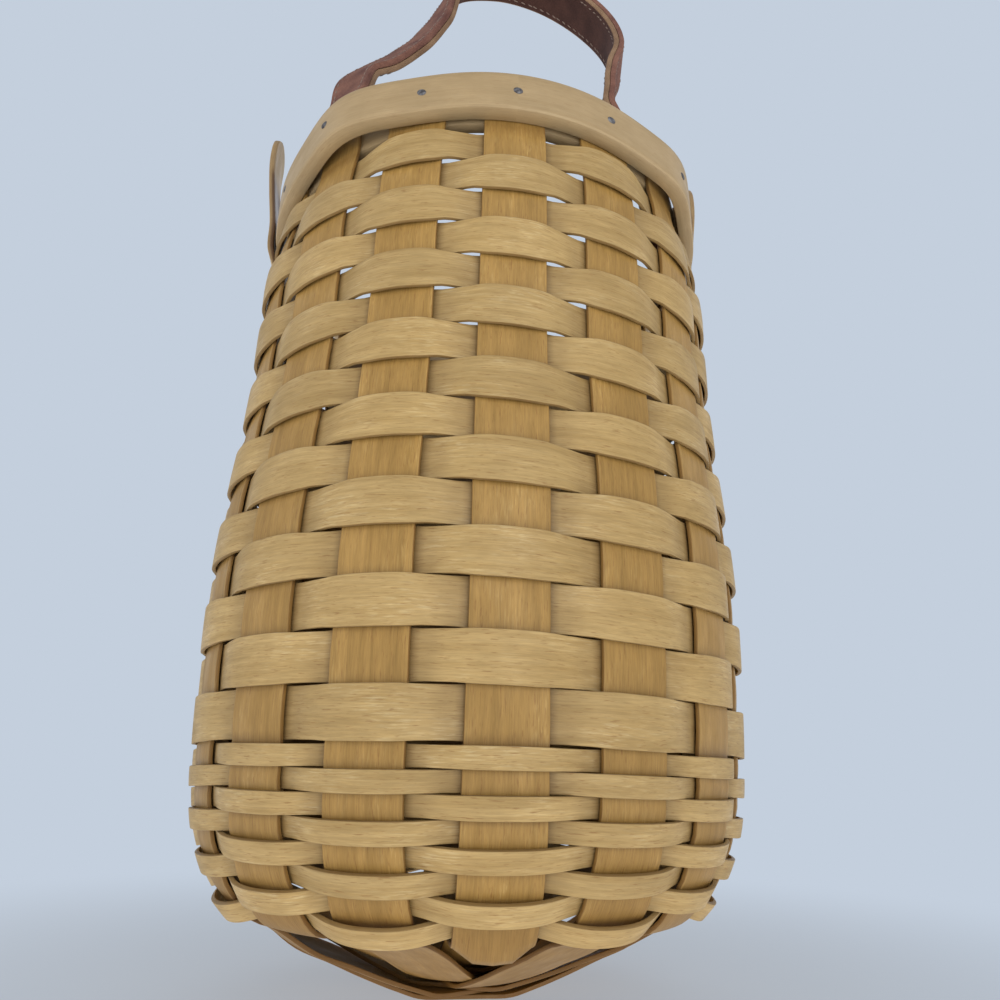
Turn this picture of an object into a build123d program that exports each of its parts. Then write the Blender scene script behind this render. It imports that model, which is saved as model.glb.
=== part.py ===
from build123d import *
from math import atan, cos, hypot, pi, radians, sin, sqrt
import os

# A tall round creel plaited from flat hardwood splints, with a leather handle.
# Millimetres. The origin is the middle of the underside, +Z runs up the axis,
# and the upright called stake 1 stands at the front, on -Y.

# ---- splints ---------------------------------------------------------------
STAKE_W = 19.05          # width of an upright
SPLINT_T = 1.05          # thickness of every upright
WEAVER_T = 1.2           # thickness of every weaver
LONG_STAKES = 8          # each crosses the base and makes two uprights
WEAVE_CLEAR = 0.1        # air between a weaver and an upright's edge
ROW_GAP = 0.25           # air between one row and the next
WAVE_POINTS = 3          # points of a weaver's curve on each upright's share of the ring

# ---- body profile ----------------------------------------------------------
RIM_TOP = 259.0          # height of the rim's upper edge
RIM_H = 14.5             # height of the outer band
STAKE_TOP_DROP = 0.8     # uprights end this far under the rim's upper edge
R_RIM = 78.2             # middle of the uprights inside the rim
R_NECK = 79.3            # just below the rim
R_UPPER = 79.9           # upper half of the wall
R_BELLY = 83.0           # fullest place, low on the wall
R_LOWER = 80.9           # where the narrow rows begin
R_HEEL = 72.3            # where the wall has turned under
Z_NECK = 236.0
Z_UPPER_TOP = 222.0
Z_UPPER_LOW = 172.0
Z_BELLY = 112.0
Z_LOWER = 62.0
Z_HEEL = 31.0
S_JOIN = 64.0            # inside this radius the stakes part into layers
S_STACK = 48.5           # inside this radius they lie fully one on another
LAYER_PITCH = 1.25       # height from one crossing stake to the next
# directions of the stakes in steps of one upright from the front, the uppermost first
STAKE_FAN = (0, 2, -2, -1, 1, 3, -3, 4)
DISH = ((60.0, 17.1), (48.5, 12.7), (39.0, 9.0), (29.0, 4.9), (19.0, 1.35))
FLAT_HALF = 11.0         # the undermost stake is flat out to here

# ---- rows ------------------------------------------------------------------
WIDE_ROWS = 15
NARROW_ROWS = 8
Z_WIDE_LOW = 70.6        # middle of the lowest wide row
WIDE_PITCH = 12.4        # lowest wide pitch
WIDE_TAPER = 0.11        # each pitch above is this much less
Z_NARROW_TOP = 61.5
NARROW_PITCH = 5.02
NARROW_MAX_W = 5.9       # widest a narrow weaver looks where the wall turns

# ---- rim -------------------------------------------------------------------
OUTER_T = 5.2            # outer band's thickness
INNER_T = 4.0            # inner band's thickness
INNER_H = 14.5           # inner band's height
BAND_CLEAR = 0.06        # air between a band and the uprights
BAND_ROUND = 1.1         # rounding of the bands' edges
TACK_R = 0.65
TACK_HEAD_R = 1.9
TACK_HEAD_T = 0.5
TACK_DROP = 7.0          # tacks sit this far below the rim's upper edge
TACK_BITE = 2.6          # a tack's point goes this far into the inner band

# ---- ears ------------------------------------------------------------------
EAR_T = 2.2
EAR_W = 18.0
EAR_TONGUE_T = 0.5
EAR_TONGUE_W = 8.0
EAR_RISE = 43.0          # ear's top above the rim
EAR_LEAN = 5.2           # how far the ear stands off the rim near its top
EAR_RIM_CLEAR = 0.15
EAR_TUCK_ROW = 2         # the wide row that holds the ear's tongue

# ---- handle ----------------------------------------------------------------
STRAP_W = 18.6
LAYER_T = 2.2            # one layer of leather; tails and strap are two thick
TAB_AZ = 56.25           # tails hang this many degrees from the front
TAB_TAIL = 23.0          # a tail hangs this far below the rim's upper edge
PIVOT_RISE = 11.0        # the strap bends about a line this far above the rim
BEND_CLEAR = 0.3         # between the strap's round end and its tail
TAIL_SHOULDER = 7.0      # a tail's corners stop this far below the bending line
TAB_RIVET_R = 1.3
TAB_RIVET_HEAD_R = 2.6
TAB_RIVET_HEAD_T = 1.1
TAB_RIVET_SPREAD = 5.2
TAB_RIVET_DROP = 5.25    # rivets sit this far below the rim's upper edge
HANDLE_LEAN = 14.0       # degrees that the handle leans back from upright
HANDLE_STEM = 10.0       # straight part of each leg from the bending line
# middle line of the handle in its own plane: x, and distance from the bending line
HANDLE_LINE = ((-56.0, 26.0), (-54.0, 43.0), (-46.0, 53.0), (-37.0, 67.0), (-28.0, 88.0),
               (-22.0, 114.0), (-15.0, 140.0), (2.0, 149.0), (21.0, 144.0), (38.0, 128.0),
               (50.0, 106.0), (53.0, 84.0), (48.0, 65.0), (46.0, 48.0), (46.0, 33.0),
               (51.0, 21.0))

STAKES = 2 * LONG_STAKES
HALF_W = STAKE_W / 2
STAKE_TOP = RIM_TOP - STAKE_TOP_DROP
RIM_LOW = RIM_TOP - RIM_H
TACK_Z = RIM_TOP - TACK_DROP
R_OUTER_IN = R_RIM + SPLINT_T / 2 + BAND_CLEAR
R_OUTER_OUT = R_OUTER_IN + OUTER_T
R_INNER_OUT = R_RIM - SPLINT_T / 2 - BAND_CLEAR
R_INNER_IN = R_INNER_OUT - INNER_T
PIVOT_Z = RIM_TOP + PIVOT_RISE
R_TAB = sqrt((R_INNER_IN - BAND_CLEAR) ** 2 - (STRAP_W / 2) ** 2) - LAYER_T
TAB_X = R_TAB * sin(radians(TAB_AZ))
TAB_Y = -R_TAB * cos(radians(TAB_AZ))
LEG_X = TAB_X
R_END = STRAP_W / 2

os.makedirs("parts", exist_ok=True)


def heel_points():
    """Radius and height of an upright's middle line, from under the rim to the heel."""
    return [(R_NECK, Z_NECK), (R_UPPER, Z_UPPER_TOP), (R_UPPER, Z_UPPER_LOW), (R_BELLY, Z_BELLY),
            (R_LOWER, Z_LOWER), (R_LOWER - 0.9, Z_LOWER - 9), (R_LOWER - 3.0, Z_LOWER - 19),
            (R_HEEL, Z_HEEL), (S_JOIN + 1.6, Z_HEEL - 7.3)]


def layer_lift(radius, order):
    """Height of stake number order above the middle layer; 0 lies uppermost."""
    share = min(1.0, max(0.0, (S_JOIN - radius) / (S_JOIN - S_STACK)))
    smooth = share * share * (3 - 2 * share)
    return smooth * LAYER_PITCH * ((LONG_STAKES - 1) / 2 - order)


def base_points(order):
    """Middle line of one stake under the basket, from the heel to its flat middle."""
    under = SPLINT_T / 2 - layer_lift(0.0, LONG_STAKES - 1)
    points = [(s, z + under + layer_lift(s, order)) for s, z in DISH]
    centre = under + layer_lift(0.0, order)
    return points + [(FLAT_HALF, centre)]


def lower_line(order):
    """Middle line of a stake from under its rim down to its flat middle."""
    return Spline((R_RIM, RIM_LOW + 1), *heel_points(), *base_points(order),
                  tangents=[(0, -1), (-1, 0)])


def offset_points(line, count, distance):
    """Points at equal steps along a plane curve, moved sideways by distance(share)."""
    points = []
    for k in range(count + 1):
        share = k / count
        here = line.position_at(share)
        along = line.tangent_at(share)
        d = distance(share)
        points.append((here.X - along.Y * d, here.Y + along.X * d))
    return points


def strip_face(line, count, thickness_left, thickness_right):
    """Closed face of a strip that follows a plane curve, thick on both sides of it."""
    one = Spline(*offset_points(line, count, thickness_left))
    two = Spline(*offset_points(line, count, lambda share: -thickness_right(share)))
    ends = [Line(one @ 0, two @ 0), Line(one @ 1, two @ 1)]
    return make_face(Curve() + [one, two] + ends)


def stake_face(order):
    """Half of a long stake seen edge on: lower part as a curve, straight within the rim."""
    line = lower_line(order)
    half, join = SPLINT_T / 2, RIM_LOW + 1
    centre = (line @ 1).Y
    left = offset_points(line, 34, lambda share: half)[1:-1]
    right = offset_points(line, 34, lambda share: -half)[1:-1]
    if left[0][0] < right[0][0]:
        left, right = right, left
    low, high = (FLAT_HALF, centre - half), (FLAT_HALF, centre + half)
    one = Spline((R_RIM + half, join), *left, low, tangents=[(0, -1), (-1, 0)])
    two = Spline((R_RIM - half, join), *right, high, tangents=[(0, -1), (-1, 0)])
    flat = [Line(low, (0, low[1])), Line((0, low[1]), (0, high[1])), Line((0, high[1]), high)]
    top = [(R_RIM + half, STAKE_TOP), (R_RIM - half, STAKE_TOP)]
    rim_part = [Line(one @ 0, top[0]), Line(top[0], top[1]), Line(top[1], two @ 0)]
    return make_face(Curve() + [one, two] + rim_part + flat)


def azimuth_plane(azimuth):
    """Upright plane through the axis whose local x points to that azimuth from the front."""
    a = radians(azimuth)
    outward = Vector(sin(a), -cos(a), 0)
    return Plane(origin=(0, 0, 0), x_dir=outward, z_dir=outward.cross(Vector(0, 0, 1)))


def rod(start, end, radius):
    """Round bar between two points."""
    axis = Vector(*end) - Vector(*start)
    return Solid.make_cylinder(radius, axis.length, Plane(origin=start, z_dir=axis))


def stake_azimuth(order):
    """Direction of a stake in degrees from the front; those beside the front one lie under it."""
    return STAKE_FAN[order] * 360 / STAKES


def stake(order):
    """One long stake, dished under the basket, with tack holes in both its ends."""
    front = Rot(0, 0, 180) * revolve(Plane.XZ * stake_face(order), Axis.Z, 180)
    front = front & Pos(0, -RIM_TOP, 0) * Box(STAKE_W, 2 * RIM_TOP, 3 * RIM_TOP)
    front -= rod((0, -R_OUTER_OUT, TACK_Z), (0, 0, TACK_Z), TACK_R)
    return Rot(0, 0, stake_azimuth(order)) * (front + Rot(0, 0, 180) * front)


def wall_table():
    """Dense middle line of the wall as (height, radius), rising."""
    line = lower_line(0)
    samples = [line.position_at(k / 900) for k in range(901)]
    return sorted((p.Y, p.X) for p in samples if p.X > S_JOIN - 2) + [(RIM_TOP, R_RIM)]


WALL = wall_table()


def radius_at(height):
    """Radius of the uprights' middle at one height."""
    for (z0, r0), (z1, r1) in zip(WALL, WALL[1:]):
        if z0 <= height <= z1:
            return r0 + (r1 - r0) * (height - z0) / max(z1 - z0, 1e-9)
    return WALL[-1][1]


def weave_swing(radius):
    """How far a weaver swings to either side so that it clears the uprights' edges."""
    crossing = cos(LONG_STAKES * atan(HALF_W / radius))
    return ((SPLINT_T + WEAVER_T) / 2 + WEAVE_CLEAR) / crossing


def wave_wire(height, lean, side, sign):
    """Closed wavy ring; side is -1 for the inner face and 1 for the outer one."""
    radius = radius_at(height)
    swing = weave_swing(radius)
    count = STAKES * WAVE_POINTS
    points = []
    for k in range(count):
        a = 2 * pi * k / count
        r = radius + (sign * swing * cos(LONG_STAKES * a) + side * WEAVER_T / 2) * lean
        points.append((r * sin(a), -r * cos(a), height))
    return Wire([Edge.make_spline([Vector(*p) for p in points], periodic=True)])


def weaver(height, width, sign):
    """One closed weaver; sign is 1 where it passes in front of the front upright."""
    slope = (radius_at(height + 1) - radius_at(height - 1)) / 2
    lean = sqrt(1 + slope * slope)
    low, high = height - width / 2 / lean, height + width / 2 / lean
    shells = [Solid.make_loft([wave_wire(low, lean, side, sign), wave_wire(high, lean, side, sign)], True)
              for side in (1, -1)]
    return shells[0] - shells[1]


def wide_row_places():
    """Middle height and width of each wide row, from the top one down."""
    places = []
    height = Z_WIDE_LOW
    for k in range(WIDE_ROWS):
        pitch = WIDE_PITCH - WIDE_TAPER * k
        places.append((height, pitch - WIDE_TAPER / 2 - ROW_GAP))
        height += pitch
    return places[::-1]


def narrow_row_places():
    """Middle height and width of each narrow row, from the top one down."""
    places = []
    for k in range(NARROW_ROWS):
        height = Z_NARROW_TOP - k * NARROW_PITCH
        slope = (radius_at(height + 1) - radius_at(height - 1)) / 2
        width = NARROW_PITCH * sqrt(1 + slope * slope) - ROW_GAP
        places.append((height, min(width, NARROW_MAX_W)))
    return places


def ring(r_in, r_out, low, high, rounding):
    """Flat hoop with its four long edges rounded."""
    shape = Location((0, 0, low)) * (extrude(Circle(r_out) - Circle(r_in), high - low))
    return fillet(shape.edges().filter_by(GeomType.CIRCLE), rounding)


def tack_places():
    """Azimuth of every tack, one on each upright."""
    return [k * 360 / STAKES for k in range(STAKES)]


def radial_rod(azimuth, height, r_from, r_to, radius, side_step=0.0):
    """Round bar along a radius, or parallel to it side_step to its right."""
    a = radians(azimuth)
    sx, sy = cos(a) * side_step, sin(a) * side_step
    start = (r_from * sin(a) + sx, -r_from * cos(a) + sy, height)
    end = (r_to * sin(a) + sx, -r_to * cos(a) + sy, height)
    return rod(start, end, radius)


def tab_rivet_spots():
    """Azimuth and sideways step of each rivet that holds a tab to the inner band."""
    return [(side * TAB_AZ, step) for side in (-1, 1) for step in (-TAB_RIVET_SPREAD, TAB_RIVET_SPREAD)]


TAB_RIVET_Z = RIM_TOP - TAB_RIVET_DROP


def outer_band():
    """Outer rim band with its tack holes."""
    band = ring(R_OUTER_IN, R_OUTER_OUT, RIM_LOW, RIM_TOP, BAND_ROUND)
    for azimuth in tack_places():
        band -= radial_rod(azimuth, TACK_Z, R_OUTER_IN - 1, R_OUTER_OUT + 1, TACK_R)
    return band


def inner_band():
    """Inner rim band with the holes of the tacks' points and of the tabs' rivets."""
    band = ring(R_INNER_IN, R_INNER_OUT, RIM_TOP - INNER_H, RIM_TOP, BAND_ROUND)
    for azimuth in tack_places():
        band -= radial_rod(azimuth, TACK_Z, R_INNER_OUT - TACK_BITE, R_INNER_OUT + 1, TACK_R)
    for azimuth, step in tab_rivet_spots():
        band -= radial_rod(azimuth, TAB_RIVET_Z, R_INNER_IN - 2, R_INNER_OUT + 1, TAB_RIVET_R, step)
    return band


def tack(azimuth):
    """One tack: domed head outside the outer band, point in the inner band."""
    a = radians(azimuth)
    shank = radial_rod(azimuth, TACK_Z, R_INNER_OUT - TACK_BITE, R_OUTER_OUT + TACK_HEAD_T / 2, TACK_R)
    head_plane = Plane(origin=(R_OUTER_OUT * sin(a), -R_OUTER_OUT * cos(a), TACK_Z),
                       z_dir=(sin(a), -cos(a), 0))
    head = Solid.make_cylinder(TACK_HEAD_R, TACK_HEAD_T, head_plane)
    outer_edge = head.edges().filter_by(GeomType.CIRCLE).sort_by(lambda e: hypot(e.center().X, e.center().Y))
    head = fillet(outer_edge[-1:], TACK_HEAD_T * 0.8)
    return shank + head


def ear(side):
    """Bent wooden ear: its tongue is tucked behind a wide row, its top stands free."""
    tuck_z = wide_row_places()[EAR_TUCK_ROW - 1][0]
    tongue_r = radius_at(tuck_z) + SPLINT_T / 2 + 0.1 + EAR_TONGUE_T / 2
    stand_r = R_OUTER_OUT + EAR_RIM_CLEAR + EAR_T / 2
    line = Spline((tongue_r, tuck_z - 5.5), (tongue_r, tuck_z + 5.0), (tongue_r + 0.25, tuck_z + 8.5),
                  (stand_r + 0.15, RIM_LOW - 0.6), (stand_r + 0.9, RIM_TOP - 3),
                  (stand_r + 2.9, RIM_TOP + 12), (stand_r + EAR_LEAN - 0.8, RIM_TOP + 27),
                  (stand_r + EAR_LEAN - 1.3, RIM_TOP + EAR_RISE))
    swell = lambda share: 0.5 * (EAR_TONGUE_T + (EAR_T - EAR_TONGUE_T)
                                 * min(1.0, max(0.0, (share - 0.17) / 0.13)))
    solid = azimuth_plane(side * 90) * extrude(strip_face(line, 40, swell, swell), EAR_W, both=True)
    low, top = tuck_z - 6, RIM_TOP + EAR_RISE - EAR_W / 2
    neck = RIM_LOW - 3
    outline = make_face(Polyline((-EAR_TONGUE_W / 2, low), (EAR_TONGUE_W / 2, low),
                                 (EAR_TONGUE_W / 2, neck - 6), (EAR_W / 2, neck + 6), (EAR_W / 2, top),
                                 (-EAR_W / 2, top), (-EAR_W / 2, neck + 6),
                                 (-EAR_TONGUE_W / 2, neck - 6), close=True))
    outline += Location((0, top)) * Circle(EAR_W / 2)
    cutter = extrude(Plane(origin=(0, 0, 0), x_dir=(0, 1, 0), z_dir=(1, 0, 0)) * outline, side * 120)
    return solid & cutter


def handle_tab(side):
    """Leather tail of the handle inside the rim, hollowed on top for the strap's round end."""
    a = radians(side * TAB_AZ)
    low = RIM_TOP - TAB_TAIL
    plane = Plane(origin=(side * TAB_X, TAB_Y, low), x_dir=(cos(a), sin(a), 0), z_dir=(0, 0, 1))
    tail = extrude(plane * Rectangle(STRAP_W, 2 * LAYER_T), PIVOT_Z - TAIL_SHOULDER - low)
    tail -= rod((side * (TAB_X - 20), TAB_Y, PIVOT_Z), (side * (TAB_X + 20), TAB_Y, PIVOT_Z),
                R_END + BEND_CLEAR)
    for azimuth, step in tab_rivet_spots():
        if azimuth * side > 0:
            tail -= radial_rod(azimuth, TAB_RIVET_Z, R_TAB - 6, R_TAB + 6, TAB_RIVET_R, step)
    return tail


def tab_rivet(azimuth, step):
    """Short rivet through a tail into the inner band, with a flat head inside."""
    r_face = R_TAB - LAYER_T
    shank = radial_rod(azimuth, TAB_RIVET_Z, r_face - 0.4, R_INNER_OUT - 0.5, TAB_RIVET_R, step)
    return shank + radial_rod(azimuth, TAB_RIVET_Z, r_face - TAB_RIVET_HEAD_T, r_face, TAB_RIVET_HEAD_R, step)


def handle_plane():
    """Plane of the handle: local x is +X, local y rises from the pivots, leaning back."""
    a = radians(HANDLE_LEAN)
    rising = Vector(0, sin(a), cos(a))
    return Plane(origin=(0, TAB_Y, PIVOT_Z), x_dir=(1, 0, 0), z_dir=Vector(1, 0, 0).cross(rising))


def handle_layer(outer):
    """Outer strap or lining of the handle, both ends rounded about the bending line."""
    foot = -R_END - 1
    line = Spline((-LEG_X, foot), (-LEG_X, 0), (-LEG_X, HANDLE_STEM), *HANDLE_LINE,
                  (LEG_X, HANDLE_STEM), (LEG_X, 0), (LEG_X, foot))
    thick = lambda share: LAYER_T
    none = lambda share: 0.0
    face = strip_face(line, 60, thick if outer else none, none if outer else thick)
    plane = handle_plane()
    band = plane * extrude(face, STRAP_W / 2, both=True)
    reach = LEG_X + 3 * LAYER_T
    top = max(y for _, y in HANDLE_LINE) + 3 * LAYER_T
    side_view = make_face(Polyline((-R_END, 0), (R_END, 0), (R_END, top), (-R_END, top), close=True))
    side_plane = Plane(origin=(-reach, TAB_Y, PIVOT_Z), x_dir=-plane.z_dir, z_dir=(1, 0, 0))
    return band & extrude(side_plane * (side_view + Circle(R_END)), 2 * reach)


def group(solids):
    """Separate solids kept together in one node."""
    return Compound(children=[s if isinstance(s, Solid) else s.solids()[0] for s in solids])


def save(name, shape):
    """Write one node."""
    export_step(shape, f"parts/{name}.step")
    print(name, len(shape.solids()), round(shape.volume, 1))


for number in range(LONG_STAKES):
    save(f"stake_{number + 1}", stake(number))
for number, (row_z, row_w) in enumerate(wide_row_places(), 1):
    save(f"wide_weaver_{number:02d}", weaver(row_z, row_w, 1 if number % 2 == 0 else -1))
for number, (row_z, row_w) in enumerate(narrow_row_places(), 1):
    save(f"narrow_weaver_{number}", weaver(row_z, row_w, 1 if number % 2 else -1))
save("rim_outer_band", outer_band())
save("rim_inner_band", inner_band())
save("rim_tacks", group([tack(azimuth) for azimuth in tack_places()]))
for name, side in (("left", -1), ("right", 1)):
    save(f"ear_{name}", ear(side))
    save(f"handle_tab_{name}", handle_tab(side))
save("tab_rivets", group([tab_rivet(*spot) for spot in tab_rivet_spots()]))
save("handle_strap", handle_layer(True))
save("handle_lining", handle_layer(False))
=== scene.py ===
"""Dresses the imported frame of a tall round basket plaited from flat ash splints.

The frame gives the bodies and the joint. Each class below holds one sub-assembly's
own sizes in millimetres, as a basket maker would write them, and they turn to metres
where a mesh is made.
"""

from __future__ import annotations

import logging
import math
import random
from dataclasses import dataclass, field
from enum import Enum
from typing import Any, Callable, Sequence

import bmesh
import bpy
from bmesh.types import BMesh, BMVert
from bpy.types import Material, Node, NodeSocket, NodeTree, Object
from mathutils import Matrix, Vector

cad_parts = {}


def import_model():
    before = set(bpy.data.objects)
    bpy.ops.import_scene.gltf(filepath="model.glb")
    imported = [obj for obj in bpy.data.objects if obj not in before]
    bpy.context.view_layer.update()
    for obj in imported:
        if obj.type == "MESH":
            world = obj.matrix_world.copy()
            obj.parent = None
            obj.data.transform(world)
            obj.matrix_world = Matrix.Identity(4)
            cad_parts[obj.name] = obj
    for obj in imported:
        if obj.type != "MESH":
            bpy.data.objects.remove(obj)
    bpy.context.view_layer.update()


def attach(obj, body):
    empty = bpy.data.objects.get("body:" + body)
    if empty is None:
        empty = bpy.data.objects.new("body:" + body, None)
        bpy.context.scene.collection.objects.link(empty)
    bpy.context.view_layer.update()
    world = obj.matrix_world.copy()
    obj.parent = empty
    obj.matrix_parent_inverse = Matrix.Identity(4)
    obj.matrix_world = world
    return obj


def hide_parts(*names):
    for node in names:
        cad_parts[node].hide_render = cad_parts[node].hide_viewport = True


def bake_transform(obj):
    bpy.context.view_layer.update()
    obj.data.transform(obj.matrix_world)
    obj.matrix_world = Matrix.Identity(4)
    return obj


Pair = tuple[float, float]
Triple = tuple[float, float, float]
Quad = tuple[float, float, float, float]

LOG = logging.getLogger("basket")
MM = 0.001
UPRIGHTS = 16
LONG_STAKES = UPRIGHTS // 2
WOVEN_BODY = "basket"
GRAIN_UV = "grain"
TONE = "tone"
PAINTED_SHADE_ATTRIBUTE = "depth"
CURVE_SAMPLES = 24  # between two points of a path
MM_PER_M = 1000


class Over(Enum):
    """Which side of the front upright a row passes."""

    FRONT = 1
    BEHIND = -1


def linear(hex_code: str) -> Quad:
    """Turns an sRGB hex colour to the linear one that the shaders take.

    Args:
        hex_code: six hex digits.

    Returns:
        Linear red, green, blue and an alpha of one.
    """
    parts = [int(hex_code[k:k + 2], 16) / 255 for k in (0, 2, 4)]
    return (*[c / 12.92 if c <= 0.04045 else ((c + 0.055) / 1.055) ** 2.4 for c in parts], 1.0)


def add_node(
    tree: NodeTree,
    kind: str,
    settings: dict[str, Any] | None = None,
    links: dict[Any, Any] | None = None,
) -> Node:
    """Adds one node with its settings, values and incoming links.

    Args:
        tree: the node tree.
        kind: the node's type name.
        settings: attributes to set on the node.
        links: input name or number to a value or to another node's output.

    Returns:
        The new node.
    """
    made = tree.nodes.new(kind)
    for key, value in (settings or {}).items():
        setattr(made, key, value)
    for key, value in (links or {}).items():
        if isinstance(value, NodeSocket):
            tree.links.new(value, made.inputs[key])
        else:
            made.inputs[key].default_value = value
    return made


def smooth_step(low: float, high: float, value: float) -> float:
    """Share from 0 at low to 1 at high, eased at both ends."""
    share = min(1.0, max(0.0, (value - low) / (high - low)))
    return share * share * (3 - 2 * share)


def hump(points: Quad, value: float) -> float:
    """Share that rises from 0 to 1 over the first two points and falls over the last two."""
    rise, full, fall, end = points
    return smooth_step(rise, full, value) * smooth_step(end, fall, value)


def facing(angle: float) -> Vector:
    """Level direction out from the axis at an angle from the front."""
    return Vector((math.sin(angle), -math.cos(angle), 0.0))


def heading(line: Sequence[Vector], k: int) -> Vector:
    """Direction in which a line runs at one of its points."""
    return (line[min(k + 1, len(line) - 1)] - line[max(k - 1, 0)]).normalized()


def smooth_path(points: Sequence[Vector], step: float) -> list[Vector]:
    """Rounds a list of points into a path with even steps.

    Args:
        points: the points, of any dimension, that the path goes through.
        step: wanted distance between samples, measured on the first three numbers.

    Returns:
        Samples along a centripetal curve through the points.
    """
    ends = [points[0] * 2 - points[1], *points, points[-1] * 2 - points[-2]]
    dense: list[Vector] = []
    for k in range(1, len(ends) - 2):
        p0, p1, p2, p3 = ends[k - 1:k + 3]
        t1 = max((p1 - p0).length, 1e-6) ** 0.5
        t2 = t1 + max((p2 - p1).length, 1e-6) ** 0.5
        t3 = t2 + max((p3 - p2).length, 1e-6) ** 0.5
        for n in range(CURVE_SAMPLES):
            t = t1 + (t2 - t1) * n / CURVE_SAMPLES
            a1 = p0 * ((t1 - t) / t1) + p1 * (t / t1)
            a2 = p1 * ((t2 - t) / (t2 - t1)) + p2 * ((t - t1) / (t2 - t1))
            a3 = p2 * ((t3 - t) / (t3 - t2)) + p3 * ((t - t2) / (t3 - t2))
            b1 = a1 * ((t2 - t) / t2) + a2 * (t / t2)
            b2 = a2 * ((t3 - t) / (t3 - t1)) + a3 * ((t - t1) / (t3 - t1))
            dense.append(b1 * ((t2 - t) / (t2 - t1)) + b2 * ((t - t1) / (t2 - t1)))
    dense.append(points[-1].copy())
    lengths = [0.0]
    for before, after in zip(dense, dense[1:]):
        lengths.append(lengths[-1] + (after - before).length)
    count = max(2, round(lengths[-1] / step))
    even, k = [], 0
    for n in range(count + 1):
        want = lengths[-1] * n / count
        while k < len(lengths) - 2 and lengths[k + 1] < want:
            k += 1
        span = max(lengths[k + 1] - lengths[k], 1e-9)
        even.append(dense[k].lerp(dense[k + 1], (want - lengths[k]) / span))
    return even


# Finishes


@dataclass(frozen=True)
class Finish:
    """One material. Each kind below says what it gives the eye and lays its own nodes."""

    name: str

    def shade(self, tree: NodeTree) -> NodeSocket:
        """Lays the finish's nodes.

        Args:
            tree: the material's empty tree.

        Returns:
            The shader's socket.
        """
        raise NotImplementedError

    def build(self) -> Material:
        """Makes the material from its nodes.

        Returns:
            The finished material.
        """
        material = bpy.data.materials.new(self.name)
        material.use_nodes = True
        tree = material.node_tree
        tree.nodes.clear()
        add_node(tree, "ShaderNodeOutputMaterial", {}, {"Surface": self.shade(tree)})
        return material


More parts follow.
